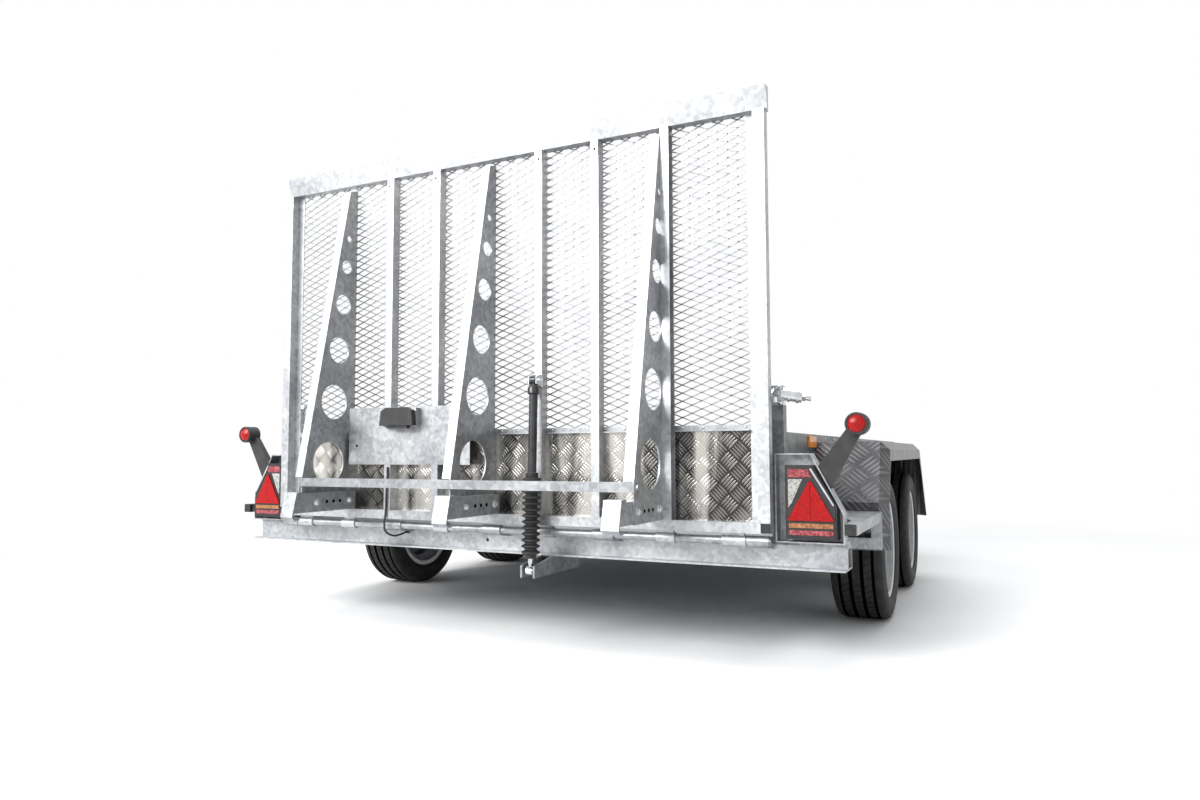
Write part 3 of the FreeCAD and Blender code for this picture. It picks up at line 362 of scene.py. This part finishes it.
def bolt(at, direction, radius=0.0085, high=0.006):
    """Washer, six-sided head and the end of the bolt."""
    at, d = Vector(at), Vector(direction).normalized()
    washer = lathe([(0, radius * 1.35), (0.0015, radius * 1.35)], at, d, 20)
    head = lathe([(0.0015, radius), (high, radius), (high + 0.001, radius * 0.85)], at, d, 6)
    tip = lathe([(high, radius * 0.45), (high + 0.004, radius * 0.45)], at, d, 12)
    return gather([washer, head, tip])


def plate(points, y0, y1):
    """An outline of (x, z) points given depth from y0 to y1."""
    n = len(points)
    verts = [(x, y0, z) for x, z in points] + [(x, y1, z) for x, z in points]
    faces = [tuple(range(n)), tuple(range(2 * n - 1, n - 1, -1))]
    faces += [(i, (i + 1) % n, n + (i + 1) % n, n + i) for i in range(n)]
    return verts, faces


def pipe(points, radius, count=10):
    """Round cable through a run of points."""
    points = [Vector(p) for p in points]
    verts, faces = [], []
    for i, p in enumerate(points):
        ahead = points[min(i + 1, len(points) - 1)] - points[max(i - 1, 0)]
        d, a, b = ahead.normalized(), Vector((0, 1, 0)), None
        a = (a - d * a.dot(d)).normalized() if abs(d.y) < 0.95 else Vector((1, 0, 0))
        b = d.cross(a)
        for k in range(count):
            ang = 2 * math.pi * k / count
            verts.append(p + (a * math.cos(ang) + b * math.sin(ang)) * radius)
    for i in range(len(points) - 1):
        for k in range(count):
            n = (k + 1) % count
            faces.append((i * count + k, i * count + n, (i + 1) * count + n, (i + 1) * count + k))
    faces.append(tuple(reversed(range(count))))
    faces.append(tuple((len(points) - 1) * count + k for k in range(count)))
    return verts, faces


def curve(points, steps=10):
    """Smooth run through points, as a Catmull-Rom curve."""
    pts = [Vector(p) for p in points]
    pts = [pts[0] * 2 - pts[1]] + pts + [pts[-1] * 2 - pts[-2]]
    run = []
    for i in range(1, len(pts) - 2):
        p0, p1, p2, p3 = pts[i - 1:i + 3]
        for k in range(steps):
            t = k / steps
            run.append(0.5 * (2 * p1 + (p2 - p0) * t + (2 * p0 - 5 * p1 + 4 * p2 - p3) * t * t
                              + (3 * p1 - p0 - 3 * p2 + p3) * t ** 3))
    run.append(pts[-2])
    return run


# ---------------------------------------------------------------- CAD node finishes

# The rear beam and ramp frame, rail and channels get the painted-light copy of galvanised; the side walls get the
# painted-shade copy.
BY_NODE = {
    "rear_beam": GALV_LIT, "deck": FLOOR_PLATE, "mudguard_right": GUARD_PLATE, "mudguard_left": GUARD_PLATE,
    "ramp_plate": RAMP_PLATE_PAINTED_REFLECTION, "ramp_top_rail": GALV_LIT, "ramp_latches": BRIGHT, "damper_barrel": BLACK,
    "damper_rod": CHROME, "damper_top_bracket": BRIGHT, "overrun_housing": CAST, "coupling_head": BRIGHT,
    "handbrake_lever": BLACK, "jockey_clamp": CAST, "jockey_tube": BRIGHT, "jockey_leg": BRIGHT,
    "jockey_fork": BRIGHT, "jockey_wheel": RUBBER, "tail_lamps": PLASTIC, "marker_lamps": RUBBER,
    "side_wall_right": GALV_SHADED, "side_wall_left": GALV_SHADED, "ramp_frame": GALV_LIT, "ramp_channels": GALV_LIT, "ramp_mesh": MESH_STEEL, "damper_bellows": RUBBER,
}
for name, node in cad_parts.items():
    material = BY_NODE.get(name, GALV)
    if name.startswith("tyre"):
        material = TYRE
    if name.startswith("rim"):
        material = RIM
    node.data.materials.clear()
    node.data.materials.append(material)


# ---------------------------------------------------------------- ramp mesh

def strand(a, b):
    """One flat strand of the expanded metal between two points."""
    (xa, za), (xb, zb) = a, b
    run = math.hypot(xb - xa, zb - za)
    nx = -(zb - za) / run * MESH_STRAND / 2
    nz = (xb - xa) / run * MESH_STRAND / 2
    y0, y1 = MESH_Y
    ring4 = []
    for x, z in (a, b):
        ring4 += [(x + nx, y0, z + nz), (x - nx, y0, z - nz), (x - nx, y1, z - nz), (x + nx, y1, z + nz)]
    return ring4, [(k, (k + 1) % 4, 4 + (k + 1) % 4, 4 + k) for k in range(4)]


def clip(a, b):
    """Keep the part of a strand that lies inside the frame, or None."""
    (xa, za), (xb, zb) = a, b
    lo, hi = 0.0, 1.0
    for start, delta, low, high in ((xa, xb - xa, -MESH_HALF, MESH_HALF), (za, zb - za, MESH_Z[0], MESH_Z[1])):
        t0, t1 = sorted(((low - start) / delta, (high - start) / delta))
        lo, hi = max(lo, t0), min(hi, t1)
    if hi - lo < 0.02:
        return None
    return (xa + (xb - xa) * lo, za + (zb - za) * lo), (xa + (xb - xa) * hi, za + (zb - za) * hi)


strands = []
half_w, half_h = MESH_LONG / 2, MESH_SHORT / 2
columns = int(MESH_HALF / half_w) + 2
rows = int((MESH_Z[1] - MESH_Z[0]) / half_h) + 2
for i in range(-columns, columns):
    for j in range(rows):
        x, z = i * half_w, MESH_Z[0] + j * half_h
        up = (i + j) % 2 == 0
        a = (x, z if up else z + half_h)
        b = (x + half_w, z + half_h if up else z)
        kept = clip(a, b)
        if kept:
            strands.append(strand(*kept))
mesh_piece = part("expanded_mesh", gather(strands), MESH_STEEL, "ramp")
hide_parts("ramp_mesh")


# ---------------------------------------------------------------- tyres

def tyre_profile():
    """Outline of (offset, radius): beads, sidewalls, shoulders and a tread with four grooves."""
    w = 0.097
    side = [(0.0796, 0.1676), (0.0796, 0.1814), (0.087, 0.184), (0.0955, 0.205), (0.0968, 0.218), (0.0935, 0.236),
            (0.0895, 0.2475), (0.083, 0.2570), (0.0745, 0.2608)]
    tread = []
    for centre, wide in ((0.058, 0.008), (0.020, 0.0105), (-0.020, 0.0105), (-0.058, 0.008)):
        drop = 0.0062
        crown = 0.2625 - 0.0012 * abs(centre) / 0.06
        tread += [(centre + wide / 2 + 0.0012, crown), (centre + wide / 2, crown - drop),
                  (centre - wide / 2, crown - drop), (centre - wide / 2 - 0.0012, crown)]
    return side + tread + [(-a, r) for a, r in reversed(side)]


def cuts(x, y, side):
    """Slanted cuts on the tread blocks, as thin black blades of painted shade that stand a hair above the rubber."""
    shapes = []
    count = 62
    for k in range(count):
        ang = 2 * math.pi * k / count
        for start, end, lean in ((0.0635, 0.088, 0.10), (0.026, 0.053, 0.13), (-0.016, 0.016, 0.10),
                                 (-0.053, -0.026, 0.13), (-0.088, -0.0635, 0.10)):
            r = 0.2622 if abs(start + end) / 2 < 0.06 else 0.2588
            ring4 = []
            for t, shift in ((start, 0.0), (end, lean * 0.35)):
                for dr, da in ((-0.004, -0.0022), (0.0, -0.0022), (0.0, 0.0022), (-0.004, 0.0022)):
                    radius = r + dr + 0.0003 - (0.0016 if abs(t) > 0.07 else 0.0) - (0.0045 if abs(t) > 0.086 else 0)
                    turn = ang + shift + da
                    ring4.append((x + t, y + math.sin(turn) * radius, TYRE_R + math.cos(turn) * radius))
            shapes.append((ring4, [(k2, (k2 + 1) % 4, 4 + (k2 + 1) % 4, 4 + k2) for k2 in range(4)]))
    return gather(shapes)


# Near-black, matt, without specular: painted shade for tread cuts, grooves and holes.
PAINTED_SHADE = plain("tread_cut", (0.001, 0.001, 0.001), (0.003, 0.003, 0.003), 0.9)
PAINTED_SHADE.node_tree.nodes["Principled BSDF"].inputs["Specular IOR Level"].default_value = 0.0
for end, y in AXLES.items():
    for side_name, side in (("left", -1), ("right", 1)):
        body = "wheel_%s_%s" % (end, side_name)
        made = part("tread_%s_%s" % (end, side_name), ring(tyre_profile(), (side * TYRE_X, y, TYRE_R), (1, 0, 0), 128),
                    TYRE, body, True)
        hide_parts("tyre_%s_%s" % (end, side_name))
        # The second material is painted shade, given to the faces in the bottoms of the tread grooves.
        made.data.materials.append(PAINTED_SHADE)
        for face in made.data.polygons:
            out = math.hypot(face.center.y - y, face.center.z - TYRE_R)
            if 0.250 < out < 0.2606 and abs(face.center.x - side * TYRE_X) < 0.066:
                face.material_index = 1
        part("tread_cuts_%s_%s" % (end, side_name), cuts(side * TYRE_X, y, side), PAINTED_SHADE, body)
        nuts = []
        for k in range(5):
            ang = 2 * math.pi * (k + 0.25) / 5
            at = (side * (TYRE_X + 0.034), y + 0.056 * math.sin(ang), TYRE_R + 0.056 * math.cos(ang))
            nuts.append(bolt(at, (side, 0, 0), 0.010, 0.016))
        part("wheel_nuts_%s_%s" % (end, side_name), gather(nuts), BRIGHT, body)


# ---------------------------------------------------------------- bellows

start, stop, outer, inner, ribs = BELLOWS
profile = [(start, 0.0085), (start, 0.020), (start + 0.012, 0.020)]
pitch = (stop - start - 0.022) / ribs
for k in range(ribs):
    t = start + 0.012 + k * pitch
    profile += [(t + pitch * 0.12, inner), (t + pitch * 0.40, outer * 0.97), (t + pitch * 0.52, outer),
                (t + pitch * 0.64, outer * 0.97), (t + pitch * 0.9, inner)]
profile += [(stop - 0.010, 0.017), (stop, 0.017), (stop, 0.0085)]
bellows = part("bellows_ribbed", lathe(profile, DAMPER_TOP, DAMPER_DOWN, 36), RUBBER, "damper_barrel", True)
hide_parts("damper_bellows")
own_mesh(bellows)
part("damper_caps", gather([lathe([(0.002, 0.0125), (0.012, 0.0195), (0.030, 0.0195), (0.034, 0.0142)],
                                  DAMPER_TOP + DAMPER_DOWN * 0.014, DAMPER_DOWN, 28)]), BLACK, "damper_barrel",
     True)


# ---------------------------------------------------------------- lamps

def lamp(side, label):
    """Lenses on the face of one tail lamp; the outline is the right lamp's, in (x, z)."""
    y1 = LAMP_FACE + 0.0005
    flip = lambda pts: [(side * x, z) for x, z in (pts if side > 0 else list(reversed(pts)))]
    face = [(0.997, 0.3795), (1.133, 0.3795), (1.133, 0.467), (1.067, 0.582), (0.997, 0.582)]
    part("lamp_face_" + label, plate(flip(face), y1 - 0.0022, y1), PLASTIC, "chassis")
    y0 = y1 - 0.0045
    items = (("led", [(1.002, 0.5515), (1.068, 0.5515), (1.058, 0.5745), (1.002, 0.5745)], RED_DIM),
             ("reverse", [(1.002, 0.466), (1.012, 0.478), (1.043, 0.5465), (1.002, 0.5465)], CLEAR),
             ("turn", [(1.003, 0.408), (1.127, 0.408), (1.127, 0.4215), (1.003, 0.4215)], AMBER_DIM),
             ("fog", [(1.003, 0.388), (1.127, 0.388), (1.127, 0.4015), (1.003, 0.4015)], RED_DIM),
             ("edge", [(1.1275, 0.471), (1.1305, 0.4745), (1.068, 0.5775), (1.063, 0.5755)], SILVER))
    for key, points, material in items:
        part("lamp_%s_%s" % (key, label), plate(flip(points), y0, y1 - 0.001), material, "chassis")
    left = [(1.0015, 0.4285), (1.0640, 0.4285), (1.0640, 0.5415), (1.0605, 0.5395), (1.0015, 0.4335)]
    right = [(1.0650, 0.4285), (1.1280, 0.4285), (1.1280, 0.4335), (1.0690, 0.5395), (1.0650, 0.5415)]
    part("lamp_triangle_" + label, gather([plate(flip(left), y0 - 0.002, y1 - 0.001),
                                           plate(flip(right), y0 - 0.002, y1 - 0.001)]), RED, "chassis")
    marker = Vector((side * 1.196, SHIFT - 0.065, 0.702))
    part("marker_lens_" + label, lathe([(-0.0005, 0.0245), (0.0015, 0.0245), (0.0055, 0.019), (0.0085, 0.011),
                                        (0.0095, 0.003)], marker, (0, -1, 0), 32), RED, "chassis", True)
    part("marker_rim_" + label, ring([(-0.001, 0.0318), (0.003, 0.0300), (0.003, 0.0255), (-0.001, 0.0250)],
                                     marker, (0, -1, 0), 40), RUBBER, "chassis", True)
    x = side * 0.9583
    at = sorted((x, x + side * 0.006))
    part("side_reflector_" + label, block(at[0], at[1], SHIFT + 0.437, SHIFT + 0.553, 0.640, 0.679), AMBER, "chassis")


lamp(1, "right")
lamp(-1, "left")


# ---------------------------------------------------------------- fasteners and plugs

feet_bolts = []
for x, side in ((-0.627 + 0.0025 + 0.043, 1), (0.0025 + 0.043, 1), (0.627 - 0.0025 - 0.043, -1)):
    for y in (-0.284, -0.124):
        feet_bolts.append(bolt((x, SHIFT + y, 0.456), (side, 0, 0), 0.010, 0.007))
for y in (-0.284, -0.124):
    feet_bolts.append(bolt((0.6295, SHIFT + y, 0.456), (1, 0, 0), 0.010, 0.007))
part("foot_bolts", gather(feet_bolts), BRIGHT, "ramp")
holes = []
for x, side in ((-0.627 + 0.0455, 1), (0.0455, 1), (0.627 - 0.0455, -1)):
    for y in (-0.236, -0.204, -0.172):
        holes.append(lathe([(0, 0.006), (0.0005, 0.006)], (x, SHIFT + y, 0.456), (side, 0, 0), 18))
for y in (-0.236, -0.204, -0.172):
    holes.append(lathe([(0, 0.006), (0.0005, 0.006)], (0.6295, SHIFT + y, 0.456), (1, 0, 0), 18))
# Black discs of painted shade stand in for the holes in the feet.
part("foot_holes", gather(holes), PAINTED_SHADE, "ramp")

rivets = []
for k in range(28):
    x = -0.88 + k * 1.76 / 27
    rivets.append(lathe([(0, 0.0042), (0.0016, 0.0034), (0.0024, 0.0015)], (x, SHIFT - 0.0612, 0.6975), (0, -1, 0), 12))
part("mid_rivets", gather(rivets), BRIGHT, "ramp")

wall_rivets = []
for side in (-1, 1):
    for k in range(12):
        y = SHIFT + 0.74 + k * 0.19
        wall_rivets.append(lathe([(0, 0.0045), (0.0025, 0.003)], (side * 0.958, y, 0.672), (side, 0, 0), 12))
part("wall_rivets", gather(wall_rivets), BRIGHT, "chassis")

caps = []
for side in (-1, 1):
    xs = sorted((side * 0.930, side * 0.9578))
    caps.append(block(xs[0], xs[1], SHIFT - 0.0965, SHIFT - 0.0945, 0.3915, 0.4195))
part("beam_caps", gather(caps), PLASTIC, "ramp")
plugs = []
for side in (-1, 1):
    xs = sorted((side * 1.1575, side * 1.1885))
    plugs.append(block(xs[0], xs[1], SHIFT - 0.064, SHIFT - 0.0495, 0.3915, 0.4225))
part("stay_plugs", gather(plugs), PLASTIC, "chassis")

latch = []
for side in (-1, 1):
    latch.append(lathe([(0, 0.019), (0.004, 0.019), (0.006, 0.013)], (side * 0.961, SHIFT + 0.001, 0.798), (0, -1, 0), 24))
    latch.append(lathe([(0, 0.007), (0.012, 0.007)], (side * 0.961, SHIFT - 0.004, 0.798), (0, -1, 0), 6))
    for x, y, z in ((0.990, 0.0185, 0.795), (1.014, 0.0245, 0.791)):
        latch.append(lathe([(0, 0.0225), (0.006, 0.0225)], (side * x, SHIFT + y, z), (side, 0.25, -0.18), 24))
    for z in (0.772, 0.815):
        latch.append(lathe([(0, 0.009), (0.006, 0.009), (0.011, 0.005)], (side * 0.969, SHIFT + 0.001, z), (0, -1, 0), 6))
    latch.append(lathe([(0, 0.0125), (0.020, 0.0125)], (side * 1.020, SHIFT + 0.024, 0.7895), (side, 0.25, -0.18), 4))
part("latch_fittings", gather(latch), BRIGHT, "chassis")

tabs = []
tab_holes = []
for x in (-0.425, -0.216, 0.207, 0.416):
    tabs.append(block(x - 0.022, x - 0.001, SHIFT - 0.0975, SHIFT - 0.0952, 1.585, 1.640))
    tab_holes.append(lathe([(0, 0.004), (0.0005, 0.004)], (x - 0.012, SHIFT - 0.0976, 1.604), (0, -1, 0), 14))
part("channel_tabs", gather(tabs), GALV, "ramp")
# Black discs of painted shade stand in for the holes in the tabs.
part("channel_tab_holes", gather(tab_holes), PAINTED_SHADE, "ramp")

# A black disc of painted shade stands in for the hole in the plate.
part("plate_hole", lathe([(0, 0.0045), (0.0006, 0.0045)], (-0.575, SHIFT - 0.0981, 0.652), (0, -1, 0), 16), PAINTED_SHADE, "ramp")
lamp_y = SHIFT - 0.120
part("plate_lamp_cover", gather([plate([(-0.434, 0.722), (-0.285, 0.722), (-0.292, 0.775), (-0.315, 0.786),
                                        (-0.404, 0.786), (-0.427, 0.775)], lamp_y - 0.022, lamp_y - 0.0002),
                                 plate([(-0.405, 0.712), (-0.314, 0.712), (-0.314, 0.724), (-0.405, 0.724)],
                                       lamp_y - 0.016, lamp_y - 0.0002)]), PLASTIC, "ramp")

# ---------------------------------------------------------------- cable of the plate lamp

down = curve([(-0.429, SHIFT - 0.100, 0.575), (-0.428, SHIFT - 0.100, 0.54), (-0.431, SHIFT - 0.101, 0.49),
              (-0.433, SHIFT - 0.100, 0.44), (-0.435, SHIFT - 0.100, 0.405)])
part("plate_cable", pipe(down, 0.0035), RUBBER, "ramp", True)
loop = curve([(-0.435, SHIFT - 0.100, 0.405), (-0.437, SHIFT - 0.103, 0.375), (-0.4375, SHIFT - 0.095, 0.345),
              (-0.432, SHIFT - 0.060, 0.327), (-0.421, SHIFT - 0.030, 0.330), (-0.414, SHIFT - 0.001, 0.340)])
loop_piece = part("cable_loop", pipe(loop, 0.0035), RUBBER, None, True)
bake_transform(loop_piece)
part("cable_grommet", lathe([(0, 0.010), (0.004, 0.009), (0.005, 0.005)], (-0.414, SHIFT, 0.340), (0, -1, 0), 20), RUBBER,
     "chassis")
part("beam_plug", lathe([(0, 0.006), (0.002, 0.005)], (-0.065, SHIFT, 0.322), (0, -1, 0), 16), RUBBER, "chassis")


# ---------------------------------------------------------------- floor, light and camera

def floor_material():
    """White ground that shows soft shadow near the trailer and fades to plain white further off."""
    s = Shade("studio_floor")
    s.finish(s.ramp(s.noise(3.0), (0.93, 0.93, 0.93), (0.95, 0.95, 0.95)), 0.9)
    s.bsdf.inputs["Specular IOR Level"].default_value = 0.0
    length = s.node("ShaderNodeVectorMath")
    length.operation = "LENGTH"
    s.link(s.coord.outputs["Object"], length.inputs[0])
    far = s.node("ShaderNodeMapRange")
    far.inputs["From Min"].default_value = 2.6
    far.inputs["From Max"].default_value = 4.2
    s.link(length.outputs["Value"], far.inputs["Value"])
    glow = s.node("ShaderNodeEmission", Strength=1.0)
    glow.inputs["Color"].default_value = (1, 1, 1, 1)
    mixed = s.tree.nodes.new("ShaderNodeMixShader")
    s.link(far.outputs["Result"], mixed.inputs[0])
    s.link(s.bsdf.outputs[0], mixed.inputs[1])
    s.link(glow.outputs[0], mixed.inputs[2])
    s.link(mixed.outputs[0], s.tree.nodes["Material Output"].inputs["Surface"])
    return s.mat


bpy.ops.mesh.primitive_plane_add(size=60.0, location=(0, 0, -0.0005))
floor = bpy.context.object
floor.name = "floor"
floor.data.materials.append(floor_material())

world = bpy.data.worlds.new("studio")
bpy.context.scene.world = world
world.use_nodes = True
nodes, links = world.node_tree.nodes, world.node_tree.links
nodes.clear()
path = nodes.new("ShaderNodeLightPath")
seen_a = nodes.new("ShaderNodeMath")
seen_a.operation = "MAXIMUM"
links.new(path.outputs["Is Camera Ray"], seen_a.inputs[0])
links.new(path.outputs["Is Glossy Ray"], seen_a.inputs[1])
seen_b = nodes.new("ShaderNodeMath")
seen_b.operation = "MAXIMUM"
links.new(seen_a.outputs[0], seen_b.inputs[0])
links.new(path.outputs["Is Transmission Ray"], seen_b.inputs[1])
soft = nodes.new("ShaderNodeBackground")
soft.inputs["Color"].default_value = (0.96, 0.98, 1.0, 1)
soft.inputs["Strength"].default_value = 0.6
white = nodes.new("ShaderNodeBackground")
white.inputs["Color"].default_value = (1, 1, 1, 1)
white.inputs["Strength"].default_value = 1.0
mixer = nodes.new("ShaderNodeMixShader")
out = nodes.new("ShaderNodeOutputWorld")
links.new(seen_b.outputs[0], mixer.inputs[0])
links.new(soft.outputs[0], mixer.inputs[1])
links.new(white.outputs[0], mixer.inputs[2])
links.new(mixer.outputs[0], out.inputs["Surface"])


def area(name, at, target, wide, high, power):
    light = bpy.data.lights.new(name, "AREA")
    light.shape = "RECTANGLE"
    light.size = wide
    light.size_y = high
    light.energy = power
    made = bpy.data.objects.new(name, light)
    bpy.context.scene.collection.objects.link(made)
    made.location = at
    made.rotation_euler = (Vector(target) - Vector(at)).to_track_quat("-Z", "Y").to_euler()
    return made


area("key", (-2.2, -6.5, 3.4), (0, -1.8, 0.8), 4.0, 3.0, 470)
area("overhead", (0.0, -0.6, 5.5), (0, -0.4, 0), 5.0, 6.0, 230)

camera_data = bpy.data.cameras.new("photo_camera")
camera_data.sensor_width = 36.0
camera_data.lens = CAMERA_LENS
camera = bpy.data.objects.new("photo_camera", camera_data)
bpy.context.scene.collection.objects.link(camera)
cp, sp = math.cos(CAMERA_PITCH), math.sin(CAMERA_PITCH)
cy, sy = math.cos(CAMERA_YAW), math.sin(CAMERA_YAW)
ahead = Vector((-sy * cp, cy * cp, sp))
right = Vector((cy, sy, 0))
above = right.cross(ahead)
cr, sr = math.cos(CAMERA_ROLL), math.sin(CAMERA_ROLL)
x_axis = right * cr + above * sr
y_axis = above * cr - right * sr
camera.matrix_world = Matrix(((x_axis.x, y_axis.x, -ahead.x, CAMERA_AT.x),
                              (x_axis.y, y_axis.y, -ahead.y, CAMERA_AT.y),
                              (x_axis.z, y_axis.z, -ahead.z, CAMERA_AT.z), (0, 0, 0, 1)))
bpy.context.scene.camera = camera
bpy.context.scene.view_settings.view_transform = "Standard"
